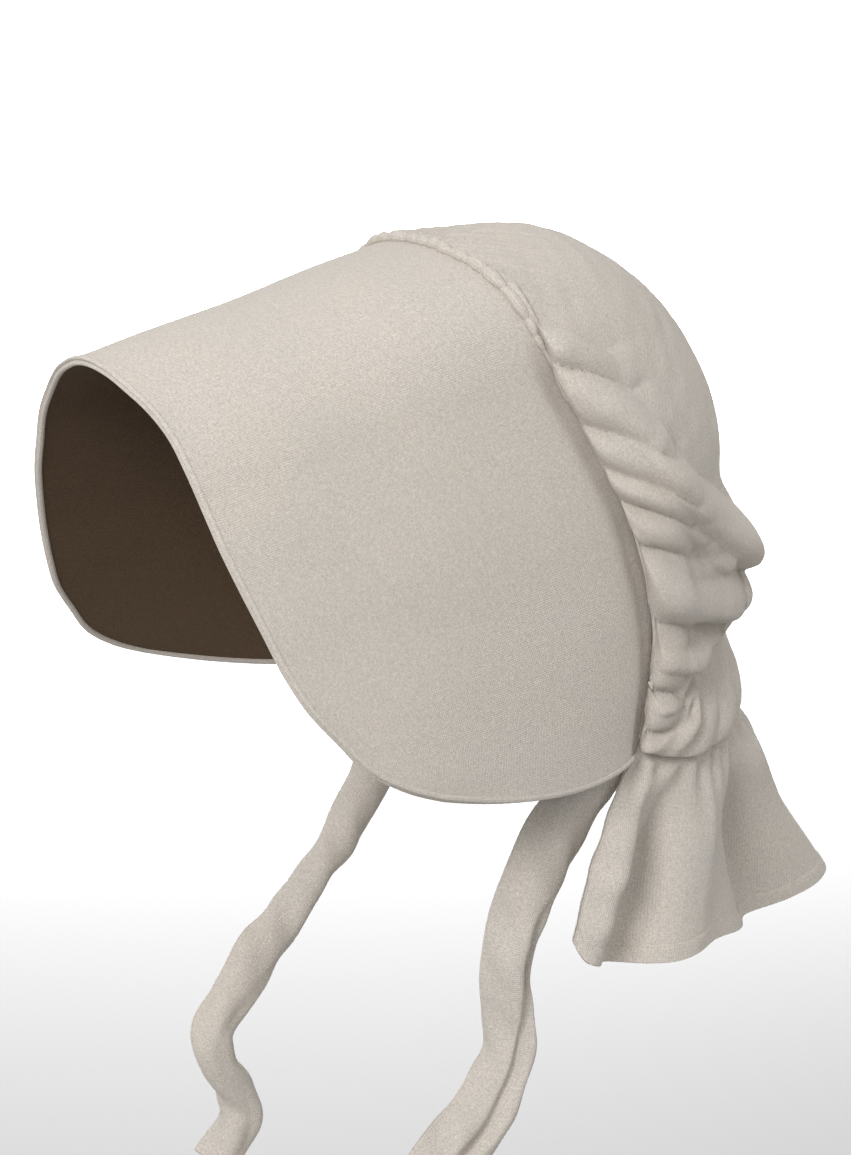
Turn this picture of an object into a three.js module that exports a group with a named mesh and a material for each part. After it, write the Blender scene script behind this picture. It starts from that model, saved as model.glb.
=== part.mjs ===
// Poke bonnet in cream cloth with a dark brown lining, in the shape it has on a head.
// Millimetres. x runs to the wearer's left, y to the back, z up.
// The origin is the inside of the crown's top, where a head carries the bonnet.

import * as THREE from 'three';

// Cloth thicknesses and clearances
const SHELL_THICK = 1.6;
const SHELL_OUT = 0.6;
const LINING_THICK = 1.0;
const LINING_IN = 1.1;
const CROWN_THICK = 1.5;
const CURTAIN_THICK = 1.6;
const TIE_THICK = 1.6;
const GAP = 0.35;

// Brim: the edge sewn to the crown, from the top centre down to the rear corner
// Columns: side, back, up
const SEAM = [
  [0, -68, 0],
  [17, -68, -1],
  [31, -68, -3],
  [44, -66, -7],
  [55, -64, -13],
  [64, -62, -22],
  [72, -57, -36],
  [78, -50, -56],
  [84, -40, -77],
  [90, -30, -100],
  [94, -20, -123],
  [96, -13, -147],
  [98, -8, -170],
  [98, -5, -199],
  [98, -8, -222],
  [98, -12, -245],
];

// Brim: the free front rim, from the top centre down to the cheek
// Columns: side, back, up
const RIM = [
  [0, -259, -27],
  [14, -258, -29],
  [27, -256, -34],
  [40, -253, -41],
  [52, -250, -51],
  [64, -248, -66],
  [73, -245, -83],
  [81, -242, -99],
  [89, -237, -117],
  [97, -231, -136],
  [104, -224, -156],
  [111, -216, -173],
  [117, -205, -188],
  [122.5, -193, -203],
  [126.5, -176, -215],
  [128.5, -154, -225],
];

// How far the lower edge between cheek and rear corner bows down and out
const EDGE_BOW = { down: 7.5, out: 5 };

// Facets of the brim across and from seam to rim
const BRIM_ACROSS = 36;
const BRIM_REACH = 4;

// Nape: the elastic line from the rear corner round to the centre of the back
// Columns: side, back, up
const NAPE = [
  [98, -12, -245],
  [99, 12, -256],
  [93, 38, -259],
  [78, 65, -257],
  [53, 87, -253],
  [27, 97, -250],
  [0, 100, -249],
];

// Crown: a rounded body about its middle, met by the seam and the nape
const CROWN_MIDDLE = [0, 0, -115];
const CROWN_BODY = { side: 97, back: 101, top: 108, bottom: 180, power: 1.78 };
const CROWN_POLE = [0, 0.97, 0.243];
const CROWN_BLEND = 4;
const SEAM_SHARE = 0.65;
const FOLD_SOFTNESS = 6;

// Crown folds on the left, mirrored to the right
// Columns: name, half width and height at the start, the same at the end, path of side, back, up
const CROWN_FOLDS = [
  ['long upper', 7.5, 4.5, 11.5, 9.5,
    [[54, -60, -11], [67, -56, -26], [74, -46, -40], [81, -33, -58], [86, -21, -72], [92, -7, -87]]],
  ['long lower', 11.5, 9.5, 24, 29,
    [[92, -7, -87], [94, 3, -103], [94, 21, -120], [82, 50, -140], [66, 73, -158], [40, 87, -173],
      [0, 94, -179]]],
  ['second', 7.5, 5.5, 9, 7,
    [[75, -53, -44], [78, -43, -56], [83, -31, -69], [88, -20, -82], [92, -10, -97], [95, 1, -115]]],
  ['third', 7.5, 6, 9, 7,
    [[84, -37, -73], [88, -26, -84], [93, -12, -100], [95, 2, -117], [94, 18, -132]]],
  ['fourth', 7, 5.5, 9, 8,
    [[90, -28, -95], [94, -11, -108], [95, 6, -124], [91, 30, -143], [76, 59, -167]]],
  ['fifth', 8, 5, 8, 5,
    [[93, -22, -113], [95, -8, -125], [95, 9, -141]]],
  ['big puff', 9, 8, 19, 22,
    [[95, -14, -131], [96, -8, -143], [97, 0, -156], [95, 14, -172], [84, 42, -189], [62, 71, -201],
      [0, 91, -215]]],
  ['second puff', 8, 8, 12, 14,
    [[98, -6, -174], [98, -1, -187], [96, 14, -204], [87, 39, -218], [77, 61, -224], [52, 83, -227],
      [0, 96, -233]]],
  ['small puff', 7, 7, 8, 7,
    [[98, -6, -207], [96, 2, -218], [93, 17, -229], [89, 35, -234], [82, 53, -237]]],
  ['nape puff', 8, 8, 9, 7,
    [[98, -9, -232], [98, -2, -241], [98, 13, -246], [94, 33, -248], [86, 51, -245], [72, 69, -243]]],
];

// Heights on the seam where two scallops of the gathered edge meet
const NOTCHES = [-15, -35, -66, -88, -104, -125, -168, -204, -225, -249];

// Curtain: the hem on the left, from the front corner to the centre of the back, then on the right
// Columns: side, back, up
const HEM_LEFT = [
  [98, -60, -337],
  [108, -34, -351],
  [110, 0, -356],
  [106, 30, -358],
  [91, 85, -368],
  [75, 125, -369],
  [59, 150, -368],
  [32, 162, -368],
  [0, 163, -368],
];
const HEM_RIGHT = [
  [-80, 35, -328],
  [-76, 60, -335],
  [-66, 90, -343],
  [-50, 130, -355],
  [-25, 155, -365],
  [0, 163, -368],
];

// Curtain folds, counted from each front corner to the centre of the back
// Columns: side, place at the nape, place at the hem, half width at the hem, height out of the cloth
const CURTAIN_FOLDS = [
  ['left', 0.07, 0.045, 0.05, 7],
  ['left', 0.17, 0.12, 0.06, -9],
  ['left', 0.34, 0.26, 0.13, 7],
  ['left', 0.47, 0.58, 0.12, -9],
  ['left', 0.58, 0.77, 0.16, 12],
  ['right', 0.10, 0.10, 0.10, 7],
  ['right', 0.28, 0.28, 0.10, -8],
  ['right', 0.48, 0.46, 0.10, 8],
  ['right', 0.66, 0.64, 0.10, -8],
  ['right', 0.85, 0.82, 0.11, 7],
];

// Ties: a flat ribbon rolled lengthwise into an arc
// Columns: middle of the ribbon as side, back, up, then half angle of the arc and turn, in degrees
const TIE_WIDTH = 47;
const TIE_LEFT = [
  [88.4, -17, -237, 150, 0],
  [88.4, -19, -249, 150, 0],
  [87, -25, -259, 112, 0],
  [88, -37, -270, 66, 0],
  [88, -50, -283, 60, 0],
  [88, -61, -299, 70, 0],
  [88, -71, -318, 82, 0],
  [88, -79, -338, 100, 4],
  [88, -81, -359, 105, 8],
  [88, -79, -379, 106, 6],
  [88, -83, -402, 88, 0],
  [88, -91, -417, 70, -6],
  [88, -102, -430, 50, -8],
  [88, -114, -441, 42, -8],
  [88, -126, -452, 38, -8],
];
const TIE_RIGHT = [
  [-88.4, -17, -237, 150, 0],
  [-88.4, -20, -249, 150, 0],
  [-88, -23, -261, 132, 0],
  [-89, -28, -285, 122, 0],
  [-90, -35, -311, 122, 0],
  [-90, -56, -340, 126, 0],
  [-90, -84, -368, 126, 4],
  [-90, -111, -397, 126, 10],
  [-90, -131, -421, 90, 16],
  [-90, -143, -439, 108, 10],
  [-90, -140, -455, 120, 0],
  [-90, -129, -473, 130, -8],
  [-90, -126, -489, 128, -8],
  [-90, -132, -504, 112, 0],
  [-90, -143, -516, 108, 0],
];

// Colours and surface
const CREAM = { color: '#cfc8bd', roughness: 0.92 };
const BROWN = { color: '#4a392c', roughness: 0.9 };

// Small vector helpers
const add = (a, b) => a.map((value, k) => value + b[k]);
const sub = (a, b) => a.map((value, k) => value - b[k]);
const scale = (a, f) => a.map((value) => value * f);
const dot = (a, b) => a.reduce((sum, value, k) => sum + value * b[k], 0);
const length = (a) => Math.sqrt(dot(a, a));
const unit = (a) => scale(a, 1 / (length(a) || 1));
const mix = (a, b, f) => a.map((value, k) => value * (1 - f) + b[k] * f);
const cross = (a, b) => [
  a[1] * b[2] - a[2] * b[1],
  a[2] * b[0] - a[0] * b[2],
  a[0] * b[1] - a[1] * b[0],
];
const clamp = (value) => Math.min(1, Math.max(0, value));
const ease = (value) => clamp(value) ** 2 * (3 - 2 * clamp(value));
const radians = (degrees) => degrees * Math.PI / 180;
const steps = (count, low, high) =>
  Array.from({ length: count + 1 }, (_, k) => low + (high - low) * k / count);

// A smooth curve through the rows of a table, read at a share of its chord length
function curve(rows) {
  const knots = [0];
  for (let k = 1; k < rows.length; k += 1) {
    knots.push(knots[k - 1] + length(sub(rows[k], rows[k - 1])));
  }
  const total = knots[knots.length - 1];
  const x = knots.map((value) => value / total);
  const slope = rows.slice(1).map((row, k) => scale(sub(row, rows[k]), 1 / (x[k + 1] - x[k])));
  const last = rows.length - 1;
  const tangent = rows.map((row, k) => {
    if (k === 0 || k === last) return null;
    const before = x[k] - x[k - 1];
    const after = x[k + 1] - x[k];
    return scale(add(scale(slope[k], before), scale(slope[k - 1], after)), 1 / (before + after));
  });
  tangent[0] = last > 1 ? sub(scale(slope[0], 1.5), scale(tangent[1], 0.5)) : slope[0];
  tangent[last] = last > 1 ? sub(scale(slope[last - 1], 1.5), scale(tangent[last - 1], 0.5)) : slope[0];
  return (share) => {
    let k = 0;
    while (k < last - 1 && share > x[k + 1]) k += 1;
    const h = x[k + 1] - x[k];
    const f = (share - x[k]) / h;
    const a = 2 * f ** 3 - 3 * f ** 2 + 1;
    const b = (f ** 3 - 2 * f ** 2 + f) * h;
    const c = 1 - a;
    const d = (f ** 3 - f ** 2) * h;
    return rows[k].map((value, n) =>
      a * value + b * tangent[k][n] + c * rows[k + 1][n] + d * tangent[k + 1][n]);
  };
}

const mirrored = (rows) => [
  ...rows.slice(1).reverse().map(([side, ...rest]) => [-side, ...rest]),
  ...rows,
];

const seamCurve = curve(mirrored(SEAM));
const rimCurve = curve(mirrored(RIM));
const napeCurve = curve(NAPE);
const hemLeft = curve(HEM_LEFT);
const hemRight = curve(HEM_RIGHT);

// Brim surface: across from -1 at the right corner to 1 at the left, reach from 0 at the seam
function brimPoint(across, reach) {
  const point = mix(seamCurve((across + 1) / 2), rimCurve((across + 1) / 2), reach);
  const bow = across ** 4 * 4 * reach ** 0.7 * (1 - reach);
  return add(point, [EDGE_BOW.out * bow * Math.sign(across), 0, -EDGE_BOW.down * bow]);
}

// Read a little inside the outline, where the two directions of the surface stay apart
function brimNormal(across, reach) {
  const d = 1e-3;
  const a = Math.min(0.95, Math.max(-0.95, across));
  const r = Math.min(0.93, Math.max(0.01, reach));
  const along = sub(brimPoint(a + d, r), brimPoint(a - d, r));
  const outward = sub(brimPoint(a, r + d), brimPoint(a, r - d));
  return unit(cross(outward, along));
}

// Ring that bounds the crown: 0 at the seam's top, the corners at the seam's share, 1 at the nape
function ringPoint(around) {
  const far = Math.abs(around);
  const point = far <= SEAM_SHARE
    ? seamCurve((far / SEAM_SHARE + 1) / 2)
    : napeCurve((far - SEAM_SHARE) / (1 - SEAM_SHARE));
  return [point[0] * (around < 0 ? -1 : 1), point[1], point[2]];
}

function bodyRadius(direction) {
  const { side, back, top, bottom, power } = CROWN_BODY;
  const up = direction[2] > 0 ? top : bottom;
  const sum = Math.abs(direction[0] / side) ** power
    + Math.abs(direction[1] / back) ** power
    + Math.abs(direction[2] / up) ** power;
  return sum ** (-1 / power);
}

// Smooth crown without folds: reach from 0 at the back pole to 1 at the ring
function crownBase(around, reach) {
  const toRing = sub(ringPoint(around), CROWN_MIDDLE);
  const ringRadius = length(toRing);
  const ringWay = scale(toRing, 1 / ringRadius);
  const pole = unit(CROWN_POLE);
  const angle = Math.acos(dot(ringWay, pole));
  const way = add(
    scale(pole, Math.sin((1 - reach) * angle) / Math.sin(angle)),
    scale(ringWay, Math.sin(reach * angle) / Math.sin(angle)),
  );
  const stretch = 1 + (ringRadius / bodyRadius(ringWay) - 1) * reach ** CROWN_BLEND;
  return add(CROWN_MIDDLE, scale(way, bodyRadius(way) * stretch));
}

const foldPaths = CROWN_FOLDS.map(([, width0, height0, width1, height1, rows]) => {
  const path = curve(rows);
  return { width0, height0, width1, height1, points: steps(8, 0, 1).map(path) };
});

// Height of the crown's folds at a point, the higher of neighbouring folds with a soft valley
function foldHeight(point) {
  const spot = [Math.abs(point[0]), point[1], point[2]];
  let sum = 0;
  for (const fold of foldPaths) {
    let nearest = Infinity;
    let share = 0;
    for (let k = 0; k + 1 < fold.points.length; k += 1) {
      const leg = sub(fold.points[k + 1], fold.points[k]);
      const f = clamp(dot(sub(spot, fold.points[k]), leg) / dot(leg, leg));
      const distance = length(sub(spot, add(fold.points[k], scale(leg, f))));
      if (distance < nearest) {
        nearest = distance;
        share = (k + f) / (fold.points.length - 1);
      }
    }
    const width = fold.width0 + (fold.width1 - fold.width0) * share;
    const height = fold.height0 + (fold.height1 - fold.height0) * share;
    const cap = Math.max(0, 1 - (nearest / width) ** 2);
    sum += (height * cap) ** 6;
  }
  return sum ** (1 / 6);
}

// Scallops of the gathered edge: 0 in a notch, 1 in the middle between two notches
function scallop(height) {
  let k = 0;
  while (k < NOTCHES.length - 2 && height < NOTCHES[k + 1]) k += 1;
  const f = clamp((NOTCHES[k] - height) / (NOTCHES[k] - NOTCHES[k + 1]));
  return Math.sin(Math.PI * f) ** 0.6;
}

// Crown surface with its folds and with the puffed edge that rolls over the seam and the nape
function crownPoint(around, reach) {
  const base = crownBase(around, reach);
  const d = 1e-3;
  const sideways = sub(crownBase(around + d, reach), crownBase(around - d, reach));
  const outward = sub(crownBase(around, reach + d), crownBase(around, reach - d));
  let normal = unit(cross(sideways, outward));
  if (dot(normal, sub(base, CROWN_MIDDLE)) < 0) normal = scale(normal, -1);
  const end = crownBase(around, 1);
  const inFromEdge = length(sub(base, end));
  const far = Math.abs(around);
  const flank = ease((far - 0.13) / 0.10);
  const nape = ease((far - SEAM_SHARE) / 0.02);
  const swell = scallop(end[2]) * (1 - nape) + 0.7 * nape;
  const puff = (3.5 + 3.5 * flank * swell)
    * (1 - Math.exp(-inFromEdge / 2.5))
    * Math.exp(-Math.max(0, inFromEdge - 8) / (30 - 18 * flank));
  const spread = [-FOLD_SOFTNESS, 0, FOLD_SOFTNESS];
  const near = spread.flatMap((a) => spread.map((b) =>
    foldHeight(add(base, add(scale(unit(sideways), a), scale(unit(outward), b))))));
  const softened = near.reduce((sum, height) => sum + height, 0) / near.length;
  const fold = softened * ease((inFromEdge + 1.5) / 9);
  const overhang = flank * (0.25 + 0.75 * swell) * 11.5 * Math.sin(Math.PI * clamp(inFromEdge / 15));
  return add(base, add(scale(normal, fold + puff), scale(unit(outward), overhang)));
}

// Curtain surface: across from -1 at the right front corner to 1 at the left, drop from 0 to 1
function curtainPoint(across, drop) {
  const left = across >= 0;
  const place = 1 - Math.abs(across);
  const nape = napeCurve(place);
  const top = [nape[0] * (left ? 1 : -1), nape[1], nape[2]];
  const hem = (left ? hemLeft : hemRight)(place);
  return mix(top, hem, drop);
}

function curtainFold(across, drop) {
  const side = across >= 0 ? 'left' : 'right';
  const place = 1 - Math.abs(across);
  let height = 0;
  for (const [fold, atNape, atHem, width, rise] of CURTAIN_FOLDS) {
    if (fold !== side) continue;
    const middle = atNape + (atHem - atNape) * drop;
    const spread = width * (0.55 + 0.45 * drop);
    height += rise * Math.exp(-(((place - middle) / spread) ** 2)) * ease(drop / 0.5);
  }
  return height;
}

// Ribbon surface of a tie: along from 0 at the bonnet to 1 at the free end, across from -1 to 1
function tiePoint(rows, along, across) {
  const path = curve(rows.map((row) => row.slice(0, 3)));
  const shape = curve(rows.map(([, , , arc, turn], k) => [k * 1000, arc, turn]));
  const middle = path(along);
  const way = unit(sub(path(Math.min(1, along + 0.01)), path(Math.max(0, along - 0.01))));
  const out = Math.sign(rows[0][0]);
  const reading = shape(along);
  const arc = radians(reading[1]);
  const turn = radians(reading[2]);
  const level = unit(cross(way, [out, 0, 0]));
  const face = unit(cross(level, way));
  const faceOut = dot(face, [out, 0, 0]) > 0 ? face : scale(face, -1);
  const wide = add(scale(level, Math.cos(turn)), scale(faceOut, Math.sin(turn)));
  const deep = sub(scale(faceOut, Math.cos(turn)), scale(level, Math.sin(turn)));
  const radius = TIE_WIDTH / 2 / arc;
  const angle = across * arc;
  const centre = radius * (Math.cos(arc) + 1) / 2;
  return add(middle, add(
    scale(wide, radius * Math.sin(angle)),
    scale(deep, radius * Math.cos(angle) - centre),
  ));
}

// Normals of a grid of points, from its neighbours
function gridNormals(grid, loops) {
  const rows = grid.length;
  return grid.map((line, i) => line.map((point, j) => {
    const before = loops ? grid[(i + rows - 1) % rows][j] : grid[Math.max(0, i - 1)][j];
    const after = loops ? grid[(i + 1) % rows][j] : grid[Math.min(rows - 1, i + 1)][j];
    const along = sub(after, before);
    const across = sub(line[Math.min(line.length - 1, j + 1)], line[Math.max(0, j - 1)]);
    return unit(cross(along, across));
  }));
}

// A closed wall on a grid of points, with one skin at each of two offsets along the normals
function wall(grid, inner, outer, options = {}) {
  const { loops = false, pole = null, flip = false, normals = gridNormals(grid, loops) } = options;
  const { middle = null } = options;
  const sign = flip ? -1 : 1;
  const vertices = [];
  const faces = [];
  const put = (point) => vertices.push(point) - 1;
  const skin = (offset) => grid.map((line, i) =>
    line.map((point, j) => put(add(point, scale(normals[i][j], sign * offset)))));
  const outside = skin(outer);
  const inside = skin(inner);
  const rows = grid.length;
  const columns = grid[0].length;
  const quad = (a, b, c, d) => faces.push([a, b, c], [a, c, d]);
  const spans = loops ? rows : rows - 1;
  // A cell is split along the diagonal that lies nearer to the surface
  const turned = (i, n, j) => {
    if (!middle) return false;
    const point = middle(i, j);
    const straight = length(sub(mix(grid[i][j], grid[n][j + 1], 0.5), point));
    return length(sub(mix(grid[n][j], grid[i][j + 1], 0.5), point)) < straight;
  };
  for (let i = 0; i < spans; i += 1) {
    const n = (i + 1) % rows;
    for (let j = 0; j + 1 < columns; j += 1) {
      if (turned(i, n, j)) {
        quad(outside[n][j], outside[n][j + 1], outside[i][j + 1], outside[i][j]);
        quad(inside[n][j], inside[i][j], inside[i][j + 1], inside[n][j + 1]);
      } else {
        quad(outside[i][j], outside[n][j], outside[n][j + 1], outside[i][j + 1]);
        quad(inside[i][j], inside[i][j + 1], inside[n][j + 1], inside[n][j]);
      }
    }
    const end = columns - 1;
    quad(outside[i][end], outside[n][end], inside[n][end], inside[i][end]);
    if (!pole) quad(inside[i][0], inside[n][0], outside[n][0], outside[i][0]);
  }
  if (pole) {
    const tip = put(add(pole.point, scale(pole.normal, outer)));
    const root = put(add(pole.point, scale(pole.normal, inner)));
    for (let i = 0; i < spans; i += 1) {
      const n = (i + 1) % rows;
      faces.push([tip, outside[n][0], outside[i][0]], [root, inside[i][0], inside[n][0]]);
    }
  }
  if (!loops) {
    for (let j = 0; j + 1 < columns; j += 1) {
      quad(outside[0][j], outside[0][j + 1], inside[0][j + 1], inside[0][j]);
      const k = rows - 1;
      quad(inside[k][j], inside[k][j + 1], outside[k][j + 1], outside[k][j]);
    }
  }
  return solid(vertices, faces);
}

// A closed roll through a row of section loops, each loop a list of points
function roll(sections) {
  const vertices = sections.flat();
  const size = sections[0].length;
  const faces = [];
  for (let i = 0; i + 1 < sections.length; i += 1) {
    for (let j = 0; j < size; j += 1) {
      const n = (j + 1) % size;
      const a = i * size;
      const b = a + size;
      faces.push([a + j, b + j, b + n], [a + j, b + n, a + n]);
    }
  }
  for (const [start, order] of [[0, 1], [(sections.length - 1) * size, -1]]) {
    for (let j = 1; j + 1 < size; j += 1) {
      faces.push(order > 0
        ? [start, start + j, start + j + 1]
        : [start, start + j + 1, start + j]);
    }
  }
  return solid(vertices, faces);
}

// Faces are turned as a whole so that the body has positive volume
function solid(vertices, faces) {
  let volume = 0;
  for (const [a, b, c] of faces) {
    volume += dot(vertices[a], cross(vertices[b], vertices[c])) / 6;
  }
  const ordered = volume < 0 ? faces.map(([a, b, c]) => [a, c, b]) : faces;
  const geometry = new THREE.BufferGeometry();
  geometry.setAttribute('position', new THREE.Float32BufferAttribute(vertices.flat(), 3));
  geometry.setIndex(ordered.flat());
  geometry.computeVertexNormals();
  return geometry;
}

const gridOf = (first, second, at) => first.map((a) => second.map((b) => at(a, b)));

const brimGrid = gridOf(steps(BRIM_ACROSS, -1, 1), steps(BRIM_REACH, 0, 1), brimPoint);
const brimNormals = gridOf(steps(BRIM_ACROSS, -1, 1), steps(BRIM_REACH, 0, 1), brimNormal);

function brimShell() {
  const half = SHELL_THICK / 2;
  return wall(brimGrid, SHELL_OUT - half, SHELL_OUT + half, { normals: brimNormals });
}

function brimLining() {
  const half = LINING_THICK / 2;
  return wall(brimGrid, -LINING_IN - half, -LINING_IN + half, { normals: brimNormals });
}

// Binding along the lower edges and the rim, its face grooved between two ridges
function brimBinding() {
  const section = [
    [0, -1.9], [1.5, -2.3], [2.5, -1.3], [1.8, -0.15], [2.6, 1.0], [1.7, 2.1], [0, 1.8],
  ];
  const reaches = [0.02, ...steps(BRIM_REACH, 0, 1).slice(1)];
  const stations = [
    ...reaches.map((reach) => [-1, reach]),
    ...steps(BRIM_ACROSS, -1, 1).slice(1, -1).map((across) => [across, 1]),
    ...reaches.slice().reverse().map((reach) => [1, reach]),
  ];
  const points = stations.map(([across, reach]) => brimPoint(across, reach));
  return roll(stations.map(([across, reach], k) => {
    const last = points.length - 1;
    const coming = unit(sub(points[Math.max(1, k)], points[Math.max(1, k) - 1]));
    const going = unit(sub(points[Math.min(last, k + 1)], points[Math.min(last, k + 1) - 1]));
    const along = unit(add(coming, going));
    const mitre = 1 / dot(coming, along);
    const normal = brimNormal(across, reach);
    const out = unit(cross(along, normal));
    const inward = sub(brimPoint(across * 0.9, Math.min(reach, 0.9)), points[k]);
    const away = dot(out, inward) > 0 ? scale(out, -1) : out;
    return section.map(([far, up]) =>
      add(points[k], add(scale(away, (GAP + far) * mitre), scale(normal, up))));
  }));
}

// Puckered heading along the top of the seam
function seamHeading() {
  const reach = 0.50;
  const puckers = 26;
  return roll(steps(2 * puckers, -reach, reach).map((across, k) => {
    const seam = brimPoint(across, 0);
    const normal = brimNormal(across, 0.02);
    const back = unit(sub(seam, brimPoint(across, 0.05)));
    const taper = 1 - 0.5 * ease((Math.abs(across) - 0.36) / 0.14);
    const radius = (k % 2 ? 2.25 : 1.85) * taper;
    const middle = add(seam, add(scale(back, GAP + 2.45 * taper), scale(normal, 0.9 * taper)));
    return steps(5, 0, 5 / 3 * Math.PI).map((angle) => add(middle, add(
      scale(back, radius * Math.cos(angle)),
      scale(normal, radius * Math.sin(angle)),
    )));
  }));
}

// Distance from the seam or the nape at which the crown's cloth ends
function crownInset(around) {
  const far = Math.abs(around);
  const behindHeading = 1 - ease((far / SEAM_SHARE - 0.42) / 0.12);
  return 1.7 + 3.4 * behindHeading;
}

function crown() {
  const half = [...steps(4, 0, 0.15), ...steps(26, 0.15, 0.65).slice(1), ...steps(7, 0.65, 1).slice(1)];
  const around = [...half.slice(1, -1).reverse().map((value) => -value), ...half];
  const lip = [0, 1.8, 4.5, 9];
  const reaches = around.map((a) => {
    const run = length(sub(crownBase(a, 1), crownBase(a, 0.9))) * 10;
    const inset = crownInset(a);
    const body = steps(12, 0, 1).map((share) => 14 + ((run - inset) * 0.93 - 14) * share ** 1.35);
    return [...lip, ...body].map((e) => 1 - (inset + e) / run).reverse();
  });
  const grid = around.map((a, i) => reaches[i].map((reach) => crownPoint(a, reach)));
  const middle = (i, j) => {
    const n = (i + 1) % around.length;
    const between = n ? (around[i] + around[n]) / 2 : (around[0] - 1) / 2;
    const corners = [reaches[i][j], reaches[n][j], reaches[i][j + 1], reaches[n][j + 1]];
    return crownPoint(between, corners.reduce((sum, reach) => sum + reach, 0) / 4);
  };
  const pole = crownBase(0.5, 0);
  const outward = unit(sub(pole, CROWN_MIDDLE));
  const lifted = add(pole, scale(outward, foldHeight(pole)));
  const straight = gridNormals(grid, true)[0][0];
  const flip = dot(straight, sub(grid[0][0], CROWN_MIDDLE)) < 0;
  const tip = { point: lifted, normal: outward };
  return wall(grid, -CROWN_THICK, 0, { loops: true, pole: tip, flip, middle });
}

function curtain() {
  const across = [...steps(18, -0.99, 0), ...steps(24, 0, 0.99).slice(1)];
  const drops = [0.022, 0.15, 0.36, 0.66, 1];
  const base = gridOf(across, drops, curtainPoint);
  const normals = gridNormals(base, false);
  const outward = dot(normals[30][3], [1, 0, 0]) > 0 ? 1 : -1;
  const grid = base.map((line, i) => line.map((point, j) =>
    add(point, scale(normals[i][j], outward * curtainFold(across[i], drops[j])))));
  return wall(grid, -CURTAIN_THICK / 2, CURTAIN_THICK / 2, {});
}

function tie(rows) {
  const grid = gridOf(steps(22, 0, 1), steps(5, -1, 1), (along, across) => tiePoint(rows, along, across));
  return wall(grid, -TIE_THICK / 2, TIE_THICK / 2, {});
}

function piece(name, geometry, look) {
  const material = new THREE.MeshStandardMaterial({
    color: look.color,
    roughness: look.roughness,
    metalness: 0,
    side: THREE.FrontSide,
  });
  const mesh = new THREE.Mesh(geometry, material);
  mesh.name = name;
  return mesh;
}

const bonnet = new THREE.Group();
bonnet.name = 'poke_bonnet';
bonnet.add(
  piece('brim_shell', brimShell(), CREAM),
  piece('brim_lining', brimLining(), BROWN),
  piece('brim_binding', brimBinding(), CREAM),
  piece('seam_heading', seamHeading(), CREAM),
  piece('crown', crown(), CREAM),
  piece('curtain', curtain(), CREAM),
  piece('tie_left', tie(TIE_LEFT), CREAM),
  piece('tie_right', tie(TIE_RIGHT), CREAM),
);

export default bonnet;
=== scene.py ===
# Poke bonnet in cream cloth, in the shape it has on a head; the brim's lining is coloured dark brown as
# painted shade for the inside of the brim.
# Metres. x runs to the wearer's left, y to the back, z up.
# Tables are in millimetres, as in the part's own source, and are scaled when a mesh is made.

import math

import bpy
import numpy as np
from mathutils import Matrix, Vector


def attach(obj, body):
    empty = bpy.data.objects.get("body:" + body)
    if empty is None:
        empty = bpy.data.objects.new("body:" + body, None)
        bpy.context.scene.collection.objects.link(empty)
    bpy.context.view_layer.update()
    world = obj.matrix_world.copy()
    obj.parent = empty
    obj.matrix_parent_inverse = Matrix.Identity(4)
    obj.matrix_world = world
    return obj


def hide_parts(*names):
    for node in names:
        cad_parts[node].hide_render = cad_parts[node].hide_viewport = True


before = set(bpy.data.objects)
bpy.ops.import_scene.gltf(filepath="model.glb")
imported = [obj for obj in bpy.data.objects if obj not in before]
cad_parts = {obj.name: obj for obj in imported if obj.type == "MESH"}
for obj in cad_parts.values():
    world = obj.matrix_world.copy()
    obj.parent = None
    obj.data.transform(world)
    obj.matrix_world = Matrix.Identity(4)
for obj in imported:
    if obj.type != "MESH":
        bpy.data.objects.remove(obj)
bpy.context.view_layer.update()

MM = 0.001
CENTRE_ROUND = 7  # rounds folds off where they cross the centre plane

# Brim: the edge sewn to the crown, from the top centre down to the rear corner
# Columns: side, back, up
SEAM = [
    [0, -68, 0], [17, -68, -1], [31, -68, -3], [44, -66, -7], [55, -64, -13], [64, -62, -22],
    [72, -57, -36], [78, -50, -56], [84, -40, -77], [90, -30, -100], [94, -20, -123],
    [96, -13, -147], [98, -8, -170], [98, -5, -199], [98, -8, -222], [98, -12, -245],
]

# Brim: the free front rim, from the top centre down to the cheek
# Columns: side, back, up
RIM = [
    [0, -259, -27], [14, -258, -29], [27, -256, -34], [40, -253, -41], [52, -250, -51],
    [64, -248, -66], [73, -245, -83], [81, -242, -99], [89, -237, -117], [97, -231, -136],
    [104, -224, -156], [111, -216, -173], [117, -205, -188], [122.5, -193, -203],
    [126.5, -176, -215], [128.5, -154, -225],
]
EDGE_BOW = {"down": 7.5, "out": 5}
BRIM_DEPTH = 200

# Nape: the elastic line from the rear corner round to the centre of the back
# Columns: side, back, up
NAPE = [
    [98, -12, -245], [99, 12, -256], [93, 38, -259], [78, 65, -257], [53, 87, -253],
    [27, 97, -250], [0, 100, -249],
]

# Crown: a rounded body about its middle, met by the seam and the nape
CROWN_MIDDLE = np.array([0, 0, -115.0])
BAG = {"rise": 15, "middle": -172, "half": 34, "starts": 15, "run": 60}
CROWN_BODY = {"side": 97, "back": 101, "top": 108, "bottom": 180, "power": 1.78}
CROWN_POLE = np.array([0, 0.97, 0.243])
CROWN_BLEND = 4
SEAM_SHARE = 0.65
FLANK_SHARE = 0.12
FOLD_POWER = 5

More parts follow.
